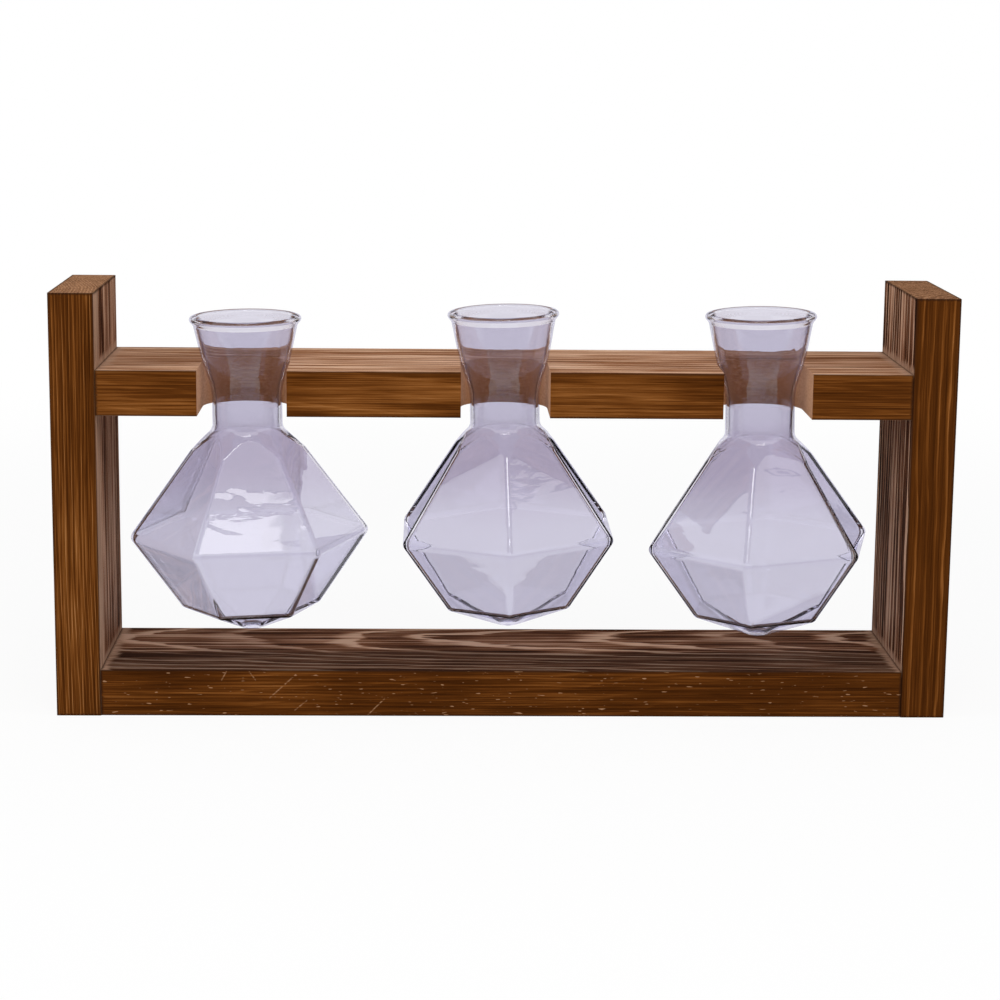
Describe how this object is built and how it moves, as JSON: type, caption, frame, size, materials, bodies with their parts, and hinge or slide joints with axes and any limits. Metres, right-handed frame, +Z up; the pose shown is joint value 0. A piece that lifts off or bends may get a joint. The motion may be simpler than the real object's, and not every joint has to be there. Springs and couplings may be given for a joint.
{
  "type": "propagation vase",
  "caption": "Desktop propagation vase: faceted blown-glass bulbs hang by flared necks in the open slots of a burnt-wood stand.",
  "frame": {"origin": "on the ground, at the middle of the stand's underside", "axes": "+X along the stand to the right as seen from the open front of the slots, +Y to the back, +Z up"},
  "size_m": [0.3, 0.0808, 0.1425],
  "materials": {
    "burnt_wood": "burnt and brushed softwood, satin",
    "clear_glass": "clear blown glass, polished",
    "screw_steel": "dark zinc-plated"
  },
  "bodies": {
    "stand": {"left_upright": "burnt_wood", "right_upright": "burnt_wood", "top_rail": "burnt_wood", "base_rail": "burnt_wood", "top_left_screws": "screw_steel", "top_right_screws": "screw_steel", "base_left_screws": "screw_steel", "base_right_screws": "screw_steel"},
    "vase_left": {"vase_left": "clear_glass"},
    "vase_middle": {"vase_middle": "clear_glass"},
    "vase_right": {"vase_right": "clear_glass"}
  },
  "joints": [
    {"name": "vase_left_slide", "type": "slide", "parent": "stand", "child": "vase_left", "axis": [0, -1, 0], "range_m": [0, 0.07]},
    {"name": "vase_middle_slide", "type": "slide", "parent": "stand", "child": "vase_middle", "axis": [0, -1, 0], "range_m": [0, 0.07]},
    {"name": "vase_right_slide", "type": "slide", "parent": "stand", "child": "vase_right", "axis": [0, -1, 0], "range_m": [0, 0.07]}
  ]
}
